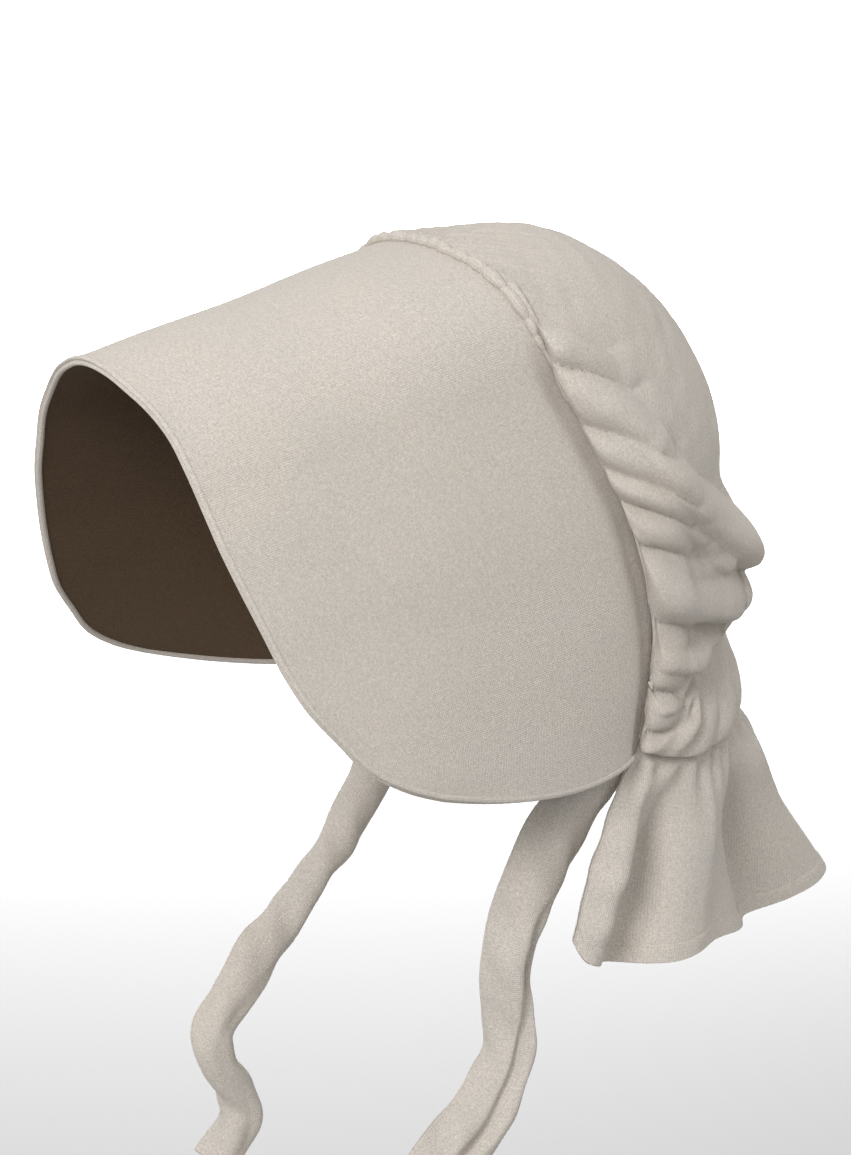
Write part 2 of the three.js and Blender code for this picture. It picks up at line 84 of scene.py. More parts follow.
# Crown folds on the left, mirrored to the right
# Columns: name, half width and height at the start, the same at the end, path of side, back, up
CROWN_FOLDS = [
    ["long upper", 8, 8, 12, 12.5,
     [[54, -60, -11], [67, -56, -26], [74, -46, -40], [81, -33, -58], [86, -21, -72], [92, -7, -87]]],
    ["long lower", 12, 12.5, 19, 13,
     [[92, -7, -87], [94, 3, -103], [94, 21, -120], [82, 50, -140], [66, 73, -158], [40, 87, -173],
      [0, 94, -179]]],
    ["second", 7.2, 5.5, 9, 4.0,
     [[75, -53, -44], [78, -43, -56], [83, -31, -69], [88, -20, -82], [92, -10, -97], [95, 1, -115]]],
    ["third", 7.2, 6, 9, 4.0,
     [[84, -37, -73], [88, -26, -84], [93, -12, -100], [95, 2, -117], [94, 18, -132]]],
    ["fourth", 7, 5.5, 9, 4.5,
     [[90, -28, -95], [94, -11, -108], [95, 6, -124], [91, 30, -143], [76, 59, -167]]],
    ["fifth", 7.6, 5, 8, 3.5,
     [[93, -22, -113], [95, -8, -125], [95, 9, -141]]],
    ["big puff", 9, 9, 17, 10,
     [[95, -14, -131], [96, -8, -143], [97, 0, -156], [95, 14, -172], [84, 42, -189], [62, 71, -201],
      [0, 91, -215]]],
    ["second puff", 8.5, 10, 13, 9,
     [[98, -6, -174], [98, -1, -187], [96, 14, -204], [87, 39, -218], [77, 61, -224], [52, 83, -227],
      [0, 96, -233]]],
    ["small puff", 7, 9, 8, 7,
     [[98, -6, -207], [96, 2, -218], [93, 17, -229], [89, 35, -234], [82, 53, -237]]],
    ["nape puff", 8, 8, 9, 7,
     [[98, -9, -232], [98, -2, -241], [98, 13, -246], [94, 33, -248], [86, 51, -245], [72, 69, -243]]],
]

# Creases pressed into the crown between its folds
# Columns: half width, depth, path of side, back, up
CROWN_CREASES = [
    [6, 3.0, [[58, -52, -6], [70, -48, -20], [77, -38, -33], [84, -24, -50], [89, -11, -64], [94, 3, -80],
              [95, 16, -98], [90, 34, -118]]],
    [4.2, 2.6, [[81, -42, -64], [84, -32, -68], [89, -18, -77], [92, -8, -86]]],
    [4.2, 3.0, [[87, -34, -85], [91, -24, -91], [94, -13, -99], [96, -4, -107]]],
    [4.2, 3.0, [[91, -26, -97], [94, -19, -105], [96, -11, -111], [97, 2, -118]]],
    [8.0, 8.5, [[95, -15, -122], [97, -6, -128], [96, 10, -139], [87, 35, -153], [70, 60, -161]]],
    [5.5, 9.0, [[97, -8, -163], [96, 8, -171], [88, 27, -186], [68, 62, -210], [50, 82, -221]]],
    [5.5, 8.0, [[98, -6, -203], [93, 10, -219], [86, 39, -234], [79, 56, -240]]],
    [4.5, 5.5, [[98, -9, -222], [94, 8, -233], [90, 29, -242], [87, 44, -249]]],
    [5.0, 4.0, [[90, 20, -196], [84, 36, -203], [74, 52, -207]]],
]

# Heights on the seam where two scallops of the gathered edge meet
NOTCHES = [-15, -35, -66, -88, -104, -125, -168, -204, -225, -249]

# Rolled front edge of the crown on its flank, read by the distance in from the seam
# Columns: distance, how far the roll stands out beyond the cloth, share of its height
LIP = np.array([
    [0, -5, 0.02], [2, -4.0, 0.05], [4, 2, 0.12], [6, 9, 0.28], [8, 13.5, 0.5], [10, 15, 0.72],
    [12.5, 13, 0.9], [16, 8, 1.0], [20, 3, 0.98], [25, 0.5, 0.86], [32, 0, 0.6], [44, 0, 0.25], [60, 0, 0],
])
LIP_ROUNDING = (-1.2, -0.6, 0, 0.6, 1.2)

# Curtain: the hem on the left, from the front corner to the centre of the back, then on the right
# Columns: side, back, up
HEM_LEFT = [
    [98, -60, -339], [108, -34, -353], [110, 0, -358], [106, 30, -358], [91, 85, -368],
    [75, 125, -369], [59, 150, -368], [32, 162, -368], [0, 163, -368],
]
HEM_RIGHT = [
    [-80, 35, -328], [-76, 60, -335], [-66, 90, -343], [-50, 130, -355], [-25, 155, -365],
    [0, 163, -368],
]

# Curtain folds, counted from each front corner to the centre of the back
# Columns: side, place at the nape, place at the hem, half width at the hem, height out of the cloth
CURTAIN_FOLDS = [
    ["left", 0.065, 0.055, 0.060, 14], ["left", 0.165, 0.135, 0.050, -15], ["left", 0.34, 0.27, 0.12, 8],
    ["left", 0.46, 0.60, 0.085, -21], ["left", 0.58, 0.78, 0.14, 9],
    ["right", 0.10, 0.10, 0.10, 8], ["right", 0.28, 0.28, 0.10, -9], ["right", 0.48, 0.46, 0.10, 9],
    ["right", 0.66, 0.64, 0.10, -9], ["right", 0.85, 0.82, 0.11, 8],
]

# Curtain: rounded front corners, the doubled hem with its stitches, and how far the cloth bows
HEM_CORNER = {"radius": 11, "share": 0.045}
HEM_DEPTH = 9.5
HEM_STITCHES = {"line": 8.4, "pitch": 2.7, "length": 1.9, "radius": 0.26}
FRONT_BOW = 10
NAPE_BULGE = 7.5

# Ties: a flat ribbon rolled lengthwise
# Columns: middle of the ribbon as side, back, up, then half angle of the roll and turn, in degrees
TIE_WIDTH = 47
CREASE_DEPTH = 12
TIE_LEFT = [
    [88.4, -17, -237, 150, 0], [88.4, -19, -249, 150, 0], [87, -25, -259, 112, 0],
    [88, -37, -270, 66, 0], [88, -50, -283, 60, 0], [88, -61, -299, 70, 0], [88, -71, -318, 82, 0],
    [86, -78, -338, 88, 4], [86, -79.5, -359, 92, 8], [86, -78, -379, 94, 6],
    [87, -81, -402, 86, 0], [88, -90, -417, 70, -6], [88, -100, -430, 54, -8],
    [88, -114, -441, 42, -8], [88, -126, -452, 38, -8],
]
TIE_RIGHT = [
    [-88.4, -17, -237, 150, 0], [-88.4, -20, -249, 150, 0], [-88, -23, -261, 132, 0],
    [-89, -28, -285, 122, 0], [-90, -35, -311, 122, 0], [-90, -55, -340, 140, 0],
    [-90, -82, -368, 144, 4], [-90, -109, -397, 138, 8], [-90, -131, -421, 90, 16],
    [-90, -143, -439, 108, 10], [-90, -140, -455, 120, 0], [-90, -129, -473, 130, -8],
    [-90, -126, -489, 128, -8], [-90, -132, -504, 112, 0], [-90, -143, -516, 108, 0],
]


# Vector helpers on arrays whose last axis holds x, y, z
def unit(a):
    return a / np.maximum(np.linalg.norm(a, axis=-1, keepdims=True), 1e-12)


def ease(value):
    c = np.clip(value, 0, 1)
    return c * c * (3 - 2 * c)


def mix(a, b, f):
    return a * (1 - f) + b * f


def curve(rows):
    """A smooth curve through the rows of a table, read at a share of its chord length."""
    p = np.array(rows, float)
    x = np.concatenate([[0], np.cumsum(np.linalg.norm(np.diff(p, axis=0), axis=1))])
    x /= x[-1]
    last = len(p) - 1
    slope = np.diff(p, axis=0) / np.diff(x)[:, None]
    tangent = np.zeros_like(p)
    for k in range(1, last):
        before, after = x[k] - x[k - 1], x[k + 1] - x[k]
        tangent[k] = (slope[k] * before + slope[k - 1] * after) / (before + after)
    tangent[0] = 1.5 * slope[0] - 0.5 * tangent[1] if last > 1 else slope[0]
    tangent[last] = 1.5 * slope[-1] - 0.5 * tangent[last - 1] if last > 1 else slope[0]

    def at(share):
        share = np.asarray(share, float)
        k = np.searchsorted(x[1:-1], share, side="left")
        h = x[k + 1] - x[k]
        f = (share - x[k]) / h
        a = 2 * f**3 - 3 * f**2 + 1
        b = (f**3 - 2 * f**2 + f) * h
        c = 1 - a
        d = (f**3 - f**2) * h
        return (a[..., None] * p[k] + b[..., None] * tangent[k]
                + c[..., None] * p[k + 1] + d[..., None] * tangent[k + 1])

    return at


def mirrored(rows):
    return [[-row[0], *row[1:]] for row in rows[:0:-1]] + rows


seam_curve = curve(mirrored(SEAM))
rim_curve = curve(mirrored(RIM))
nape_curve = curve(NAPE)
hem_left = curve(HEM_LEFT)
hem_right = curve(HEM_RIGHT)


def ripple(x, y, size, seed):
    """Smooth irregular waves of about that size, from -1 to 1."""
    rng = np.random.default_rng(seed)
    total = 0
    for _ in range(7):
        angle, phase = rng.uniform(0, 2 * math.pi, 2)
        pitch = size * rng.uniform(0.7, 1.6)
        total = total + np.sin((x * math.cos(angle) + y * math.sin(angle)) * 2 * math.pi / pitch + phase)
    return total / 4


def brim_point(across, reach):
    point = mix(seam_curve((across + 1) / 2), rim_curve((across + 1) / 2), reach[..., None])
    bow = across**4 * 4 * np.maximum(reach, 0) ** 0.7 * (1 - reach)
    out = np.stack([EDGE_BOW["out"] * bow * np.sign(across), 0 * bow, -EDGE_BOW["down"] * bow], -1)
    return point + out


def brim_normal(across, reach):
    d = 1e-3
    a = np.clip(across, -0.95, 0.95)
    r = np.clip(reach, 0.01, 0.93)
    along = brim_point(a + d, r) - brim_point(a - d, r)
    outward = brim_point(a, r + d) - brim_point(a, r - d)
    return unit(np.cross(outward, along))


def ring_point(around):
    far = np.abs(around)
    on_seam = seam_curve((np.minimum(far / SEAM_SHARE, 1) + 1) / 2)
    on_nape = nape_curve((far - SEAM_SHARE) / (1 - SEAM_SHARE))
    point = np.where((far <= SEAM_SHARE)[..., None], on_seam, on_nape)
    return point * np.stack([np.where(around < 0, -1, 1), 1 + 0 * far, 1 + 0 * far], -1)


def body_radius(way):
    up = np.where(way[..., 2] > 0, CROWN_BODY["top"], CROWN_BODY["bottom"])
    power = CROWN_BODY["power"]
    total = (np.abs(way[..., 0] / CROWN_BODY["side"]) ** power
             + np.abs(way[..., 1] / CROWN_BODY["back"]) ** power
             + np.abs(way[..., 2] / up) ** power)
    return total ** (-1 / power)


def crown_base(around, reach):
    """Smooth crown without folds: reach from 0 at the back pole to 1 at the ring."""
    to_ring = ring_point(around) - CROWN_MIDDLE
    ring_radius = np.linalg.norm(to_ring, axis=-1)
    ring_way = to_ring / ring_radius[..., None]
    pole = unit(CROWN_POLE)
    angle = np.arccos(ring_way @ pole)
    way = (pole * (np.sin((1 - reach) * angle) / np.sin(angle))[..., None]
           + ring_way * (np.sin(reach * angle) / np.sin(angle))[..., None])
    stretch = 1 + (ring_radius / body_radius(ring_way) - 1) * reach**CROWN_BLEND
    return CROWN_MIDDLE + way * (body_radius(way) * stretch)[..., None]


def on_crown(rows, count):
    """A path's points, laid onto the rounded body where they lie behind the ears."""
    points = curve(rows)(np.linspace(0, 1, count))
    way = unit(points - CROWN_MIDDLE)
    laid = CROWN_MIDDLE + way * body_radius(way)[:, None]
    return mix(points, laid, ease((points[:, 1:2] - 10) / 35))


FOLD_LINES = [(on_crown(rows, 41), w0, h0, w1, h1) for _, w0, h0, w1, h1, rows in CROWN_FOLDS]
CREASE_LINES = [(on_crown(rows, 25), width, depth) for width, depth, rows in CROWN_CREASES]


def near_line(spot, line):
    """Distance of each spot to a line of points, share along it, and how far it lies under the line."""
    best = np.full(spot.shape[:-1], np.inf)
    share = np.zeros(spot.shape[:-1])
    under = np.zeros(spot.shape[:-1])
    for k in range(len(line) - 1):
        leg = line[k + 1] - line[k]
        f = np.clip(((spot - line[k]) @ leg) / (leg @ leg), 0, 1)
        gap = spot - (line[k] + f[..., None] * leg)
        distance = np.linalg.norm(gap, axis=-1)
        closer = distance < best
        best = np.where(closer, distance, best)
        share = np.where(closer, (k + f) / (len(line) - 1), share)
        under = np.where(closer, -gap[..., 2], under)
    return best, share, under


def on_left(point):
    """Points mirrored to the left half, rounded off at the centre plane."""
    spot = point.copy()
    spot[..., 0] = np.sqrt(point[..., 0] ** 2 + CENTRE_ROUND**2) - CENTRE_ROUND
    return spot


def fold_height(point):
    """Height of the crown's folds: each is steeper on its lower side, with a soft valley to the next."""
    spot = on_left(point)
    right = ease(-point[..., 0] / 30)
    spot[..., 1] += right * 2.5 * np.sin(point[..., 2] / 19)
    total = 0
    for line, w0, h0, w1, h1 in FOLD_LINES:
        distance, share, under = near_line(spot, line)
        width = (w0 + (w1 - w0) * share) * (1.2 - 0.34 * ease(0.5 + under / 10))
        height = h0 + (h1 - h0) * share
        total = total + (height * np.maximum(0, 1 - (distance / width) ** 2) ** 1.05) ** FOLD_POWER
    return total ** (1 / FOLD_POWER)


def crease_depth(point):
    """Depth of the pressed creases, which fade at both ends."""
    spot = on_left(point)
    total = 0
    for line, width, depth in CREASE_LINES:
        distance, share, _ = near_line(spot, line)
        fade = ease(share / 0.08 + 0.35) * ease((1 - share) / 0.35)
        total = total + depth * fade * np.exp(-((distance / (0.62 * width)) ** 2))
    return total


def scallop(height):
    """Swell of the gathered edge, from 0 at a notch to 1 between two."""
    notch = np.array(NOTCHES, float)
    k = np.clip(np.searchsorted(-notch, -height, side="left") - 1, 0, len(notch) - 2)
    f = np.clip((notch[k] - height) / (notch[k] - notch[k + 1]), 0, 1)
    return np.sin(math.pi * f) ** 0.6


def notch_creases(slant, inward):
    """Depth of the short creases that start where two scallops meet."""
    total = 0
    for k, notch in enumerate(NOTCHES[1:-1]):
        depth = 2.0 + 0.9 * math.sin(k * 2.3)
        total = total + depth * np.exp(-(((slant - notch) / 1.8) ** 2))
    return total * ease((inward - 3) / 5) * (1 - ease((inward - 8) / 12))


def lip(inward, column):
    """Reads the rolled edge's table, with its corners rounded."""
    readings = [np.interp(inward + shift, LIP[:, 0], LIP[:, column]) for shift in LIP_ROUNDING]
    return sum(readings) / len(readings)


def grooves(around, pitch, phase, width):
    """Narrow valleys at uneven spaces."""
    turn = around * math.pi / pitch + phase + 0.9 * np.sin(around * 31 + phase)
    return np.exp(-((np.sin(turn) / width) ** 2))


def top_gathers(far, inward, flank):
    """Small gathers that start at the seam, slant towards the flank and fade."""
    place = far - 0.0014 * np.minimum(inward, 60)
    top = 1 - flank
    pucker = np.sin(place * 395 + 2.2 * np.sin(place * 71)) * np.exp(-inward / (6 + 7 * top))
    fan = -(1.8 * grooves(place, 0.041, 0.3, 0.30) + 1.1 * grooves(place, 0.027, 1.1, 0.35))
    fan = fan * np.exp(-inward / 34) * ease((inward - 1) / 7) * top
    return fan + pucker * (0.5 + 0.9 * top) * ease(inward / 3)


def crown_ways(around, reach, base):
    """Ways out of the smooth crown, and along it towards its ring."""
    step, stride = 0.001, 0.02
    sideways = crown_base(around + stride, reach) - crown_base(around - stride, reach)
    outward = unit(crown_base(around, reach + step) - crown_base(around, reach - step))
    normal = unit(np.cross(sideways, outward))
    facing = np.sum(normal * (base - CROWN_MIDDLE), -1, keepdims=True)
    return np.where(facing < 0, -normal, normal), outward


def crown_point(around, reach):
    """The crown's cloth: the smooth body with its rolled edge, folds, bag, creases and gathers."""
    base = crown_base(around, reach)
    normal, outward = crown_ways(around, reach, base)
    end = crown_base(around, np.ones_like(reach))
    inward = np.linalg.norm(base - end, axis=-1)
    far = np.abs(around)
    flank = ease((far - FLANK_SHARE) / 0.08)
    nape = ease((far - SEAM_SHARE) / 0.02)
    lipped = flank * (1 - 0.12 * nape)

    # Scallops and the creases between them slant down as they run back from the seam
    slant = end[..., 2] + 1.1 * np.minimum(inward, 34)
    nape_swell = 0.35 + 0.5 * np.abs(np.sin(around * 41 + np.sin(around * 17)))
    swell = mix(scallop(slant), nape_swell, nape)
    puff = (3.5 + 1.0 * nape) * ease((inward + 0.4) / 6) * np.exp(-np.maximum(0, inward - 8) / 26)
    puff = mix(puff, (4.5 + 6.5 * swell) * lip(inward, 2), lipped)
    overhang = lipped * (0.62 + 0.38 * swell) * lip(inward, 1) * 0.62

    bag = BAG["rise"] * np.exp(-(((base[..., 2] - BAG["middle"]) / BAG["half"]) ** 4))
    bag = bag * ease((base[..., 1] - BAG["starts"]) / BAG["run"])
    fold = fold_height(base) * ease((inward + 1.5) / 9)
    crease = notch_creases(slant, inward) * flank * (1 - nape) + crease_depth(base) * ease((inward - 2) / 8)
    nape_gathers = 0.9 * np.sin(around * 128 + np.sin(around * 37) * 2) * np.exp(-inward / 10) * nape
    lift = fold + bag + puff - crease + top_gathers(far, inward, flank) + nape_gathers * ease(inward / 3)
    lift = lift + 0.45 * ripple(base[..., 0], base[..., 2], 60, 5)
    lift = lift + 0.3 * ripple(base[..., 1], base[..., 2], 17, 8)
    droop = np.zeros_like(base)
    droop[..., 2] = 0.45 * np.minimum(fold, 11) * ease(inward / 12)
    return base + normal * lift[..., None] + outward * overhang[..., None] - droop


def quarter_circle(share):
    """Rise of a rounded corner, from 1 at share 0 to 0 at share 1 and beyond."""
    return 1 - np.sqrt(1 - (1 - np.minimum(share, 1)) ** 2)


def curtain_point(across, drop):
    place = 1 - np.abs(across)
    left = (across >= 0)[..., None]
    nape = nape_curve(place)
    top = np.where(left, nape, nape * np.array([-1, 1, 1]))
    hem = np.where(left, hem_left(place), hem_right(place))
    hem[..., 2] += HEM_CORNER["radius"] * quarter_circle(place / HEM_CORNER["share"])
    point = mix(top, hem, drop[..., None])
    point[..., 1] -= FRONT_BOW * np.sin(math.pi * np.clip(drop, 0, 1) ** 0.75) * np.exp(-place / 0.05)
    return point


def curtain_fold(across, drop):
    """Height of the curtain's cloth above its smooth shape."""
    place = 1 - np.abs(across)
    height = 0
    for side, at_nape, at_hem, width, rise in CURTAIN_FOLDS:
        here = across >= 0 if side == "left" else across < 0
        middle = at_nape + (at_hem - at_nape) * drop
        steeper = (place > middle) & (rise > 0)
        spread = width * (0.55 + 0.45 * drop) * np.where(steeper, 0.6, 1.15)
        height = height + here * rise * np.exp(-(((place - middle) / spread) ** 2)) * ease(drop / 0.5)
    height = height + NAPE_BULGE * np.exp(-(((drop - 0.22) / 0.17) ** 2)) * ease((place - 0.3) / 0.2)
    height = height - 2.2 * ease((0.03 - drop) / 0.06)  # tucks the top edge under the crown
    gather = 2.0 * np.sin(place * 86 + 1.5 * np.sin(place * 17)) * np.exp(-np.maximum(drop, 0) / 0.16)
    dimple = 2.4 * ripple(place * 300, drop * 100, 24, 21) * np.exp(-(((place - 0.06) / 0.10) ** 2))
    uneven = 0.5 * ripple(place * 300, drop * 100, 70, 4)
    return height + gather * ease(drop / 0.05) + dimple * ease(drop / 0.1) + uneven


# Mesh builders
def grid_normals(grid):
    return unit(np.cross(np.gradient(grid, axis=0), np.gradient(grid, axis=1)))


def new_mesh(name, points, faces, uv, material):
    mesh = bpy.data.meshes.new(name)
    mesh.from_pydata([tuple(p) for p in points * MM], [], faces)
    layer = mesh.uv_layers.new(name="cloth")
    index = np.zeros(len(mesh.loops), np.int32)
    mesh.loops.foreach_get("vertex_index", index)
    layer.data.foreach_set("uv", np.asarray(uv, np.float32)[index].ravel())
    mesh.polygons.foreach_set("use_smooth", np.ones(len(mesh.polygons), bool))
    mesh.materials.append(material)
    mesh.update()
    piece = bpy.data.objects.new(name, mesh)
    bpy.context.scene.collection.objects.link(piece)
    return piece


def grid_faces(rows, columns, loops=False, flip=False, start=0):
    spans = rows if loops else rows - 1
    i = np.arange(spans)[:, None]
    j = np.arange(columns - 1)[None, :]
    n = (i + 1) % rows
    a, b = start + i * columns + j, start + n * columns + j
    quads = np.stack([a, b, b + 1, a + 1], -1).reshape(-1, 4)
    return (quads[:, ::-1] if flip else quads).tolist()


def sheet(name, grid, uv, material, loops=False, flip=False, pole=None):
    """One layer of cloth on a grid of points, closed at its first column by a pole."""
    rows, columns = grid.shape[:2]
    points = grid.reshape(-1, 3)
    coordinates = uv.reshape(-1, 2)
    faces = grid_faces(rows, columns, loops, flip)
    if pole is not None:
        points = np.vstack([points, pole[None]])
        coordinates = np.vstack([coordinates, [[0, 0]]])
        tip = rows * columns
        for i in range(rows):
            n = (i + 1) % rows
            corner = [tip, n * columns, i * columns]
            faces.append(corner[::-1] if flip else corner)
    return new_mesh(name, points, faces, coordinates, material)


def wall(name, outer, inner, uv, material, flip=False):
    """A thin closed body between two grids of points."""
    rows, columns = outer.shape[:2]
    size = rows * columns
    points = np.vstack([outer.reshape(-1, 3), inner.reshape(-1, 3)])
    faces = grid_faces(rows, columns, flip=flip) + grid_faces(rows, columns, flip=not flip, start=size)
    edge = [(i, 0) for i in range(rows - 1)]
    edge += [(rows - 1, j) for j in range(columns - 1)]
    edge += [(i, columns - 1) for i in range(rows - 1, 0, -1)]
    edge += [(0, j) for j in range(columns - 1, 0, -1)]
    for k, (i, j) in enumerate(edge):
        a = i * columns + j
        i, j = edge[(k + 1) % len(edge)]
        b = i * columns + j
        side = [a, b, b + size, a + size]
        faces.append(side if not flip else side[::-1])
    return new_mesh(name, points, faces, np.vstack([uv.reshape(-1, 2)] * 2), material)


def roll(name, sections, uv, material):
    """A closed roll through a row of section loops."""
    rows, size = sections.shape[:2]
    faces = []
    for i in range(rows - 1):
        for j in range(size):
            n = (j + 1) % size
            faces.append([i * size + j, (i + 1) * size + j, (i + 1) * size + n, i * size + n])
    faces.append(list(range(size)))
    faces.append([(rows - 1) * size + j for j in range(size - 1, -1, -1)])
    return new_mesh(name, sections.reshape(-1, 3), faces, uv.reshape(-1, 2), material)


def lengths(grid, axis):
    """Distance run along one axis of a grid of points, in metres, from its first line."""
    step = np.linalg.norm(np.diff(grid, axis=axis), axis=-1)
    pad = [(0, 0), (0, 0)]
    pad[axis] = (1, 0)
    return np.cumsum(np.pad(step, pad), axis=axis) * MM


# Materials
def node(tree, kind, **inputs):
    made = tree.nodes.new(kind)
    for key, value in inputs.items():
        if hasattr(made, key):
            setattr(made, key, value)
        else:
            made.inputs[key.replace("_", " ")].default_value = value
    return made


def math_node(tree, operation, a, b=None, c=None):
    made = tree.nodes.new("ShaderNodeMath")
    made.operation = operation
    for slot, value in zip(made.inputs, (a, b, c)):
        if value is None:
            continue
        if isinstance(value, (int, float)):
            slot.default_value = value
        else:
            tree.links.new(value, slot)
    return made.outputs[0]


def cloth(name, colour, thread, sheen):
    """Plain weave: warp and weft ridges that pass over and under each other, with slubs and clouding."""
    material = bpy.data.materials.new(name)
    material.use_nodes = True
    tree = material.node_tree
    tree.nodes.clear()
    link = tree.links.new
    shader = node(tree, "ShaderNodeBsdfPrincipled")
    shader.inputs["Roughness"].default_value = 0.93
    shader.inputs["Specular IOR Level"].default_value = 0.18
    shader.inputs["Sheen Weight"].default_value = sheen
    shader.inputs["Sheen Roughness"].default_value = 0.45
    shader.inputs["Sheen Tint"].default_value = (1.0, 0.97, 0.92, 1)
    output = node(tree, "ShaderNodeOutputMaterial")
    link(shader.outputs[0], output.inputs["Surface"])

    where = node(tree, "ShaderNodeUVMap", uv_map="cloth")
    place = node(tree, "ShaderNodeTexCoord")
    wander = node(tree, "ShaderNodeTexNoise", Scale=260.0, Detail=2.0)
    link(where.outputs[0], wander.inputs["Vector"])
    split = node(tree, "ShaderNodeSeparateXYZ")
    link(where.outputs[0], split.inputs[0])
    drift = math_node(tree, "MULTIPLY", math_node(tree, "SUBTRACT", wander.outputs["Fac"], 0.5), thread * 0.9)
    u = math_node(tree, "MULTIPLY", math_node(tree, "ADD", split.outputs["X"], drift), math.pi / thread)
    v = math_node(tree, "MULTIPLY", math_node(tree, "SUBTRACT", split.outputs["Y"], drift), math.pi / thread)
    cos_u = math_node(tree, "COSINE", u)
    cos_v = math_node(tree, "COSINE", v)
    warp = math_node(tree, "MULTIPLY", cos_u, cos_u)
    weft = math_node(tree, "MULTIPLY", cos_v, cos_v)
    over = math_node(tree, "MULTIPLY_ADD", math_node(tree, "MULTIPLY", cos_u, cos_v), 0.5, 0.5)
    weave = math_node(
        tree, "ADD", math_node(tree, "MULTIPLY", warp, over),
        math_node(tree, "MULTIPLY", weft, math_node(tree, "SUBTRACT", 1.0, over)),
    )

    fuzz = node(tree, "ShaderNodeTexNoise", Scale=1400.0, Detail=3.0, Roughness=0.7)
    slub = node(tree, "ShaderNodeTexNoise", Scale=420.0, Detail=4.0, Roughness=0.6)
    cloud = node(tree, "ShaderNodeTexNoise", Scale=16.0, Detail=3.0, Roughness=0.5)
    speck = node(tree, "ShaderNodeTexNoise", Scale=950.0, Detail=1.0)
    link(where.outputs[0], slub.inputs["Vector"])
    for noise in (fuzz, cloud, speck):
        link(place.outputs["Object"], noise.inputs["Vector"])

    tone = math_node(tree, "MULTIPLY_ADD", weave, 0.16, 0.90)
    for noise, amount, least in ((slub, 0.24, 0.88), (cloud, 0.10, 0.95), (speck, 0.56, 0.72)):
        share = math_node(tree, "MULTIPLY_ADD", noise.outputs["Fac"], amount, least)
        tone = math_node(tree, "MULTIPLY", tone, share)
    tint = node(tree, "ShaderNodeMix")
    tint.data_type = "RGBA"
    warm = [channel * share for channel, share in zip(colour, (1.02, 0.99, 0.95))]
    cool = [channel * share for channel, share in zip(colour, (0.99, 1.0, 1.02))]
    tint.inputs["A"].default_value = (*cool, 1)
    tint.inputs["B"].default_value = (*warm, 1)
    link(cloud.outputs["Fac"], tint.inputs["Factor"])
    shade = node(tree, "ShaderNodeVectorMath", operation="SCALE")
    link(tint.outputs["Result"], shade.inputs[0])
    link(tone, shade.inputs["Scale"])
    link(shade.outputs[0], shader.inputs["Base Color"])

    height = math_node(tree, "ADD", weave, math_node(tree, "MULTIPLY", fuzz.outputs["Fac"], 0.6))
    height = math_node(tree, "ADD", height, math_node(tree, "MULTIPLY", slub.outputs["Fac"], 0.5))
    bump = node(tree, "ShaderNodeBump", Strength=0.7, Distance=0.00035)
    link(height, bump.inputs["Height"])
    link(bump.outputs[0], shader.inputs["Normal"])
    return material


CREAM = (0.60, 0.556, 0.502)
# Dark brown for the brim's lining: painted shade for the inside of the brim
LINING_SHADE_BROWN = (0.115, 0.075, 0.045)
YARN, SEWING_THREAD = 0.0011, 0.0006
cream = cloth("cream_plain_weave", CREAM, YARN, 0.12)
lining_shade_cloth = cloth("brown_painted_shade_weave", LINING_SHADE_BROWN, YARN, 0.05)
thread_cream = cloth("cream_sewing_thread", [c * 1.05 for c in CREAM], SEWING_THREAD, 0.2)

# Brim: outer cloth and lining, the lining coloured dark brown as painted shade for the inside of the brim
BRIM_COLUMNS, BRIM_ROWS = 241, 101
across = np.linspace(-1, 1, BRIM_COLUMNS)[:, None] + np.zeros(BRIM_ROWS)
reach = np.zeros(BRIM_COLUMNS)[:, None] + np.linspace(-0.03, 1, BRIM_ROWS)
brim = brim_point(across, reach)
brim_out = brim_normal(across, reach)
run_across = lengths(brim_point(across, 0 * reach + 0.5), 0)
brim_uv = np.stack([run_across, lengths(brim, 1)], -1)
swell = 0.35 * ripple(brim[..., 1], brim[..., 2], 75, 3)
dip = np.exp(-((np.maximum(reach, 0) * BRIM_DEPTH / 6) ** 2)) * ease((np.abs(across) - 0.25) / 0.12)
edge = ease((1 - np.abs(across)) / 0.03) * ease((1 - reach) / 0.05)
outer_height = 1.35 + (swell - 0.25) * edge - 3.2 * dip
inner_depth = 1.55 + 0.3 * swell * edge + 2.4 * dip
brim_cloth = sheet("brim_cloth", brim + brim_out * outer_height[..., None], brim_uv, cream)
brim_lining = sheet("brim_lining_cloth", brim - brim_out * inner_depth[..., None], brim_uv, lining_shade_cloth, flip=True)

# Binding along the lower edges and the rim: two ridges with a groove between them
upper = [(0.9 + 1.5 * math.cos(t), 0.95 + 1.0 * math.sin(t)) for t in np.linspace(-0.35, 1.0, 13) * math.pi]
lower = [(1.1 + 1.5 * math.cos(t), -1.5 + 1.15 * math.sin(t)) for t in np.linspace(-1.0, 0.30, 13) * math.pi]
SECTION = np.array(lower + upper)
stations = [(-1, r) for r in np.linspace(0.02, 1, 61)]
stations += [(a, 1) for a in np.linspace(-1, 1, 321)[1:-1]]
stations += [(1, r) for r in np.linspace(1, 0.02, 61)]
line_a = np.array([s[0] for s in stations], float)
line_r = np.array([s[1] for s in stations], float)
line = brim_point(line_a, line_r)
going = unit(np.gradient(line, axis=0))
line_n = brim_normal(line_a, line_r)
line_out = unit(np.cross(going, line_n))
inward = brim_point(line_a * 0.9, np.minimum(line_r, 0.9)) - line
line_out = np.where(np.sum(line_out * inward, -1, keepdims=True) > 0, -line_out, line_out)
for _ in range(6):  # rounds the two cheeks
    line_out[1:-1] = unit(line_out[:-2] + 2 * line_out[1:-1] + line_out[2:])
sections = line[:, None] + line_out[:, None] * (SECTION[:, :1] - 0.45) + line_n[:, None] * SECTION[:, 1:]
run = lengths(line[:, None] + np.zeros((1, 2, 1)), 0)[:, :1]
around = np.linspace(0, 0.012, len(SECTION))
